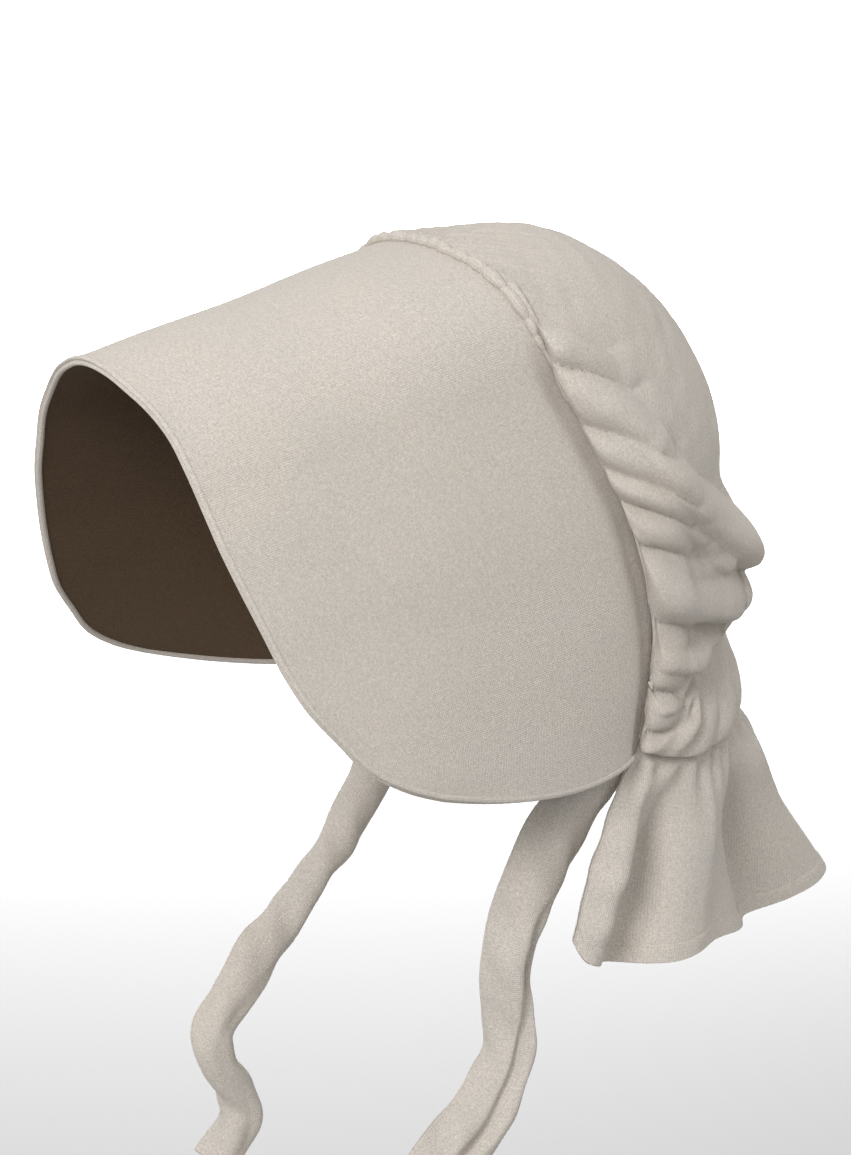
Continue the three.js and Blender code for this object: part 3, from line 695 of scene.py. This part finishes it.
binding = roll("brim_binding_tape", sections, np.stack([run + 0 * around, around + 0 * run], -1), cream)

# Puckered heading over the top of the seam
HEADING_END, HEADING_SECTIONS = 0.52, 541
heading_a = np.linspace(-HEADING_END, HEADING_END, HEADING_SECTIONS)
seam = brim_point(heading_a, 0 * heading_a)
heading_n = brim_normal(heading_a, 0 * heading_a + 0.02)
heading_back = unit(seam - brim_point(heading_a, 0 * heading_a + 0.05))
taper = 1 - 0.70 * ease((np.abs(heading_a) - 0.20) / 0.14)
phase = heading_a * 172 + 2.6 * np.sin(heading_a * 19) + 1.1 * np.sin(heading_a * 47)
bead = np.abs(np.sin(phase / 2)) ** 0.8
radius = (2.2 + 1.0 * bead + 0.3 * np.sin(phase * 0.31)) * taper
set_back = (3.4 - 1.5 * taper) + 0.5 * np.sin(phase * 0.37)
set_out = (1.5 + 0.9 * bead) * taper
middle = seam + heading_back * set_back[:, None] + heading_n * set_out[:, None]
turn = np.linspace(0, 2 * math.pi, 20, endpoint=False)
twist = 0.35 * np.sin(phase[:, None] + 1.2 * turn)
circle = np.cos(turn)[:, None] * heading_back[:, None] + np.sin(turn)[:, None] * heading_n[:, None]
heading = middle[:, None] + (radius[:, None] * (1 + 0.16 * twist))[..., None] * circle
run = lengths(seam[:, None] + np.zeros((1, 2, 1)), 0)[:, :1] * 1.6
heading_uv = np.stack([run + 0 * turn, 0 * run + turn * 0.0022], -1)
seam_heading = roll("seam_heading_gathers", heading, heading_uv, cream)

# Crown
AROUND, REACH, LIP_ROWS = 560, 165, 40
LIP_RUN, INSET = 22, 0.4
a = np.linspace(-1, 1, AROUND, endpoint=False) + 1 / AROUND
grid_a = a[:, None] + np.zeros(REACH)
ring = np.ones_like(a)
length = np.linalg.norm(crown_base(a, ring) - crown_base(a, 0.9 * ring), axis=-1) * 10
on_lip = np.linspace(0, LIP_RUN, LIP_ROWS)[None, :] + 0 * a[:, None]
rest = np.linspace(0, 1, REACH - LIP_ROWS + 1)[None, 1:]
behind_lip = LIP_RUN + ((length - INSET)[:, None] * 0.985 - LIP_RUN) * rest**1.1
grid_r = 1 - (INSET + np.concatenate([on_lip, behind_lip], axis=1)) / length[:, None]
crown = crown_point(grid_a, grid_r)[:, ::-1]
flat_r = lengths(crown, 1) / MM
for _ in range(40):  # evens out the run of the threads from one fold to the next
    flat_r = (np.roll(flat_r, 2, 0) + flat_r + np.roll(flat_r, -2, 0)) / 3
crown_uv = np.stack([flat_r * np.cos(grid_a * math.pi), flat_r * np.sin(grid_a * math.pi)], -1) * MM
crown_cloth = sheet("crown_cloth", crown, crown_uv, cream, loops=True, pole=crown[:, 0].mean(0))

# Curtain with a doubled hem
CURTAIN_COLUMNS, CURTAIN_ROWS = 381, 111
HEM_ROWS = 31


def left_side_out(normals):
    """Normals turned so that they point out of the curtain, judged on its left side."""
    return -normals if normals[-100, 60, 0] < 0 else normals


across = np.linspace(-0.99, 0.99, CURTAIN_COLUMNS)[:, None] + np.zeros(CURTAIN_ROWS)
down = np.concatenate([
    np.linspace(-0.06, 0.9, CURTAIN_ROWS - HEM_ROWS),
    np.linspace(0.9, 1, HEM_ROWS + 1)[1:],
])
drop = np.zeros(CURTAIN_COLUMNS)[:, None] + down
drop = drop * (1 - 0.11 * quarter_circle((1 - np.abs(across)) / 0.05))
smooth = curtain_point(across, drop)
folded = smooth + left_side_out(grid_normals(smooth)) * curtain_fold(across, drop)[..., None]
cloth_n = left_side_out(grid_normals(folded))
to_hem = lengths(folded, 1)
to_hem = (to_hem[:, -1:] - to_hem) / MM
hem_band = ease((HEM_DEPTH - to_hem) / 0.8) * ease((to_hem + 0.1) / 0.5)
dent = 0.75 * np.exp(-((to_hem - 8.6) / 0.8) ** 2)
half = (0.55 + 0.60 * hem_band - dent * 0.5)[..., None]
curtain_uv = np.stack([lengths(curtain_point(across, 0 * drop + 0.6), 0), lengths(folded, 1)], -1)
curtain_cloth = wall("curtain_cloth", folded + cloth_n * half, folded - cloth_n * half, curtain_uv, cream)


# Ties
def gathered_turn(s):
    """Place across the ribbon, from -1 to 1, as its roll turns most of the way at one crease."""
    turn = np.tanh((s + 0.2) / 0.24)
    return (turn - turn[0]) / (turn[-1] - turn[0]) * 2 - 1


def rolled(s, arc, strength):
    """Cross sections of a rolled ribbon: sideways and outward, centred."""
    angle = arc * mix(s, gathered_turn(s), strength)
    step = TIE_WIDTH / 2 * (s[1] - s[0])
    sideways = np.cumsum(np.cos(angle), 1) * step
    outward = -np.cumsum(np.sin(angle), 1) * step
    return [way - (way.max(1, keepdims=True) + way.min(1, keepdims=True)) / 2 for way in (sideways, outward)]


def tie(name, rows, crease):
    """A ribbon rolled lengthwise, with one long crease."""
    along = np.linspace(0, 1, 261)
    s = np.linspace(-1, 1, 49)
    middle = curve([row[:3] for row in rows])
    shape = curve([[k * 1000, row[3], row[4]] for k, row in enumerate(rows)])(along)
    arc, turned = np.radians(shape[:, 1:2]), np.radians(shape[:, 2:3])

    sideways = np.array([1, 0, 0])
    way = unit(middle(np.minimum(1, along + 0.01)) - middle(np.maximum(0, along - 0.01)))
    level = unit(np.cross(way, sideways))
    face = unit(np.cross(level, way))
    face = np.where((face @ sideways)[:, None] > 0, face, -face)
    wide = level * np.cos(turned) + face * np.sin(turned)
    deep = face * np.cos(turned) - level * np.sin(turned)

    x, y = rolled(s, arc, crease * ease((along - 0.30) / 0.15)[:, None])
    grid = middle(along)[:, None] + wide[:, None] * x[..., None] + deep[:, None] * y[..., None]
    normals = grid_normals(grid)
    middle_run = lengths(grid[:, 24:26], 0)[:, :1]
    uv = np.stack([0 * middle_run + s * TIE_WIDTH / 2 * MM, middle_run + 0 * s], -1)

    line = -0.34 + 0.26 * ease((along - 0.45) / 0.25) + 0.03 * np.sin(along * 19)
    groove = crease * CREASE_DEPTH * np.exp(-(((s - line[:, None]) / 0.17) ** 2))
    grid = grid - deep[:, None] * (groove * ease((along[:, None] - 0.34) / 0.12))[..., None]
    wrinkle = 1.3 * ripple(uv[..., 0] / MM * 1.8, uv[..., 1] / MM, 26, 11)
    grid = grid + normals * (wrinkle * ease(along / 0.08)[:, None])[..., None]

    edge = (1 - np.abs(s)) * TIE_WIDTH / 2
    half = 0.38 + 0.28 * ease((3.4 - edge) / 0.5) * ease((edge + 0.25) / 0.4)
    half = (half - 0.16 * np.exp(-((edge - 3.0) / 0.4) ** 2))[None, :, None]
    return wall(name, grid + normals * half, grid - normals * half, uv, cream)


tie_left = tie("tie_left_ribbon", TIE_LEFT, 0.55)
tie_right = tie("tie_right_ribbon", TIE_RIGHT, 0.12)


# Hem stitches
def stitches(name, line, normal, material, pitch, length, radius):
    """A row of short stitches along a line of points on the cloth."""
    run = np.concatenate([[0], np.cumsum(np.linalg.norm(np.diff(line, axis=0), axis=1))])
    marks = np.arange(pitch, run[-1] - pitch / 2, pitch)
    at = np.stack([np.interp(marks, run, line[:, k]) for k in range(3)], -1)
    ahead = np.stack([np.interp(marks + 0.5, run, line[:, k]) for k in range(3)], -1)
    raised = unit(np.stack([np.interp(marks, run, normal[:, k]) for k in range(3)], -1))
    along = unit(ahead - at)
    side = np.cross(along, raised)
    sides = 6
    turns = np.linspace(0, 2 * math.pi, sides, endpoint=False)
    shares = (-0.98, -0.7, 0, 0.7, 0.98)
    last = sides * (len(shares) - 1)
    points, faces, uv = [], [], []
    for spot, t, n, w in zip(at, along, raised, side):
        start = len(points)
        for share in shares:
            width = radius * math.sqrt(1 - share * share)
            middle = spot + t * (share * length / 2) + n * (radius * (0.9 - 1.6 * share * share))
            for turn in turns:
                points.append(middle + w * (width * math.cos(turn)) + n * (width * math.sin(turn)))
                uv.append((share * 0.001, turn * 0.0001))
        for k in range(len(shares) - 1):
            for j in range(sides):
                a = start + k * sides + j
                b = start + k * sides + (j + 1) % sides
                faces.append([a, b, b + sides, a + sides])
        faces.append([start + j for j in range(sides - 1, -1, -1)])
        faces.append([start + last + j for j in range(sides)])
    return new_mesh(name, np.array(points), faces, np.array(uv), material)


hem_line, hem_normal = [], []
surface = folded + cloth_n * half
for i in range(3, CURTAIN_COLUMNS - 3):
    order = np.argsort(to_hem[i])
    for found, grid in ((hem_line, surface), (hem_normal, cloth_n)):
        found.append([np.interp(HEM_STITCHES["line"], to_hem[i][order], grid[i][order, k]) for k in range(3)])
hem_stitches = stitches(
    "curtain_hem_stitches", np.array(hem_line), np.array(hem_normal), thread_cream,
    HEM_STITCHES["pitch"], HEM_STITCHES["length"], HEM_STITCHES["radius"],
)

# Places in the frame and replaced nodes
for piece, nodes, slot in (
    (brim_cloth, ["brim_shell"], "cream_cloth"),
    # The lining's slot carries the dark brown painted shade
    (brim_lining, ["brim_lining"], "brown_lining"),
    (binding, ["brim_binding"], "cream_cloth"),
    (seam_heading, ["seam_heading"], "cream_cloth"),
    (crown_cloth, ["crown"], "cream_cloth"),
    (curtain_cloth, ["curtain"], "cream_cloth"),
    (hem_stitches, [], "cream_cloth"),
    (tie_left, ["tie_left"], "cream_cloth"),
    (tie_right, ["tie_right"], "cream_cloth"),
):
    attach(piece, "root")
    if nodes:
        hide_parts(*nodes)


# Floor, lamps and world
def plain(name, colour):
    material = bpy.data.materials.new(name)
    material.use_nodes = True
    shader = material.node_tree.nodes["Principled BSDF"]
    shader.inputs["Base Color"].default_value = (*colour, 1)
    shader.inputs["Roughness"].default_value = 0.9
    shader.inputs["Specular IOR Level"].default_value = 0.1
    return material


FLOOR_Z, FLOOR_HALF = -0.95, 14
floor_mesh = bpy.data.meshes.new("floor")
floor_corners = [(x * FLOOR_HALF, y * FLOOR_HALF, FLOOR_Z) for x, y in ((-1, -1), (1, -1), (1, 1), (-1, 1))]
floor_mesh.from_pydata(floor_corners, [], [(0, 1, 2, 3)])
floor_mesh.materials.append(plain("pale_floor", (0.40, 0.40, 0.40)))
floor = bpy.data.objects.new("floor", floor_mesh)
bpy.context.scene.collection.objects.link(floor)


def area_light(name, place, target, size, power, spread=180):
    data = bpy.data.lights.new(name, "AREA")
    data.shape = "RECTANGLE"
    data.size, data.size_y = size
    data.energy = power
    data.spread = math.radians(spread)
    lamp = bpy.data.objects.new(name, data)
    lamp.location = place
    lamp.rotation_euler = (Vector(target) - Vector(place)).to_track_quat("-Z", "Y").to_euler()
    bpy.context.scene.collection.objects.link(lamp)
    return lamp


area_light("key", (1.2, -2.1, 1.5), (0, 0, -0.2), (1.0, 0.8), 48)
area_light("backdrop", (-6.3, 4.8, 2.6), (-6.3, 4.8, FLOOR_Z), (6, 6), 5600, 120)

world = bpy.data.worlds.new("studio")
world.use_nodes = True
world.node_tree.nodes["Background"].inputs["Color"].default_value = (1, 1, 1, 1)
world.node_tree.nodes["Background"].inputs["Strength"].default_value = 0.76
bpy.context.scene.world = world
bpy.context.scene.view_settings.view_transform = "Standard"

# Camera: round to the wearer's left from the front, looking down a little
# Frame size, focal length and the place of a point at the top of the seam are in pixels
VIEW_ROUND, VIEW_UP = math.radians(53), math.radians(18.5)
FRAME_WIDTH, FRAME_HEIGHT, FOCAL = 851, 1155, 3312
SEEN_POINT, SEEN_AT, DISTANCE = Vector((0, -0.085, 0.005)), (398, 242), 1.60
level = Vector((math.sin(VIEW_ROUND), -math.cos(VIEW_ROUND), 0))
back = level * math.cos(VIEW_UP) + Vector((0, 0, math.sin(VIEW_UP)))
right = Vector((math.cos(VIEW_ROUND), math.sin(VIEW_ROUND), 0))
up = back.cross(right)
to_right = (SEEN_AT[0] - FRAME_WIDTH / 2) / FOCAL
to_bottom = (SEEN_AT[1] - FRAME_HEIGHT / 2) / FOCAL
ray = right * to_right - up * to_bottom - back
lens = bpy.data.cameras.new("camera")
lens.sensor_fit = "HORIZONTAL"
lens.sensor_width = 36
lens.lens = 36 * FOCAL / FRAME_WIDTH
lens.clip_end = 60
camera = bpy.data.objects.new("camera", lens)
camera.location = SEEN_POINT - ray * DISTANCE
camera.rotation_euler = back.to_track_quat("Z", "Y").to_euler()
bpy.context.scene.collection.objects.link(camera)
bpy.context.scene.camera = camera
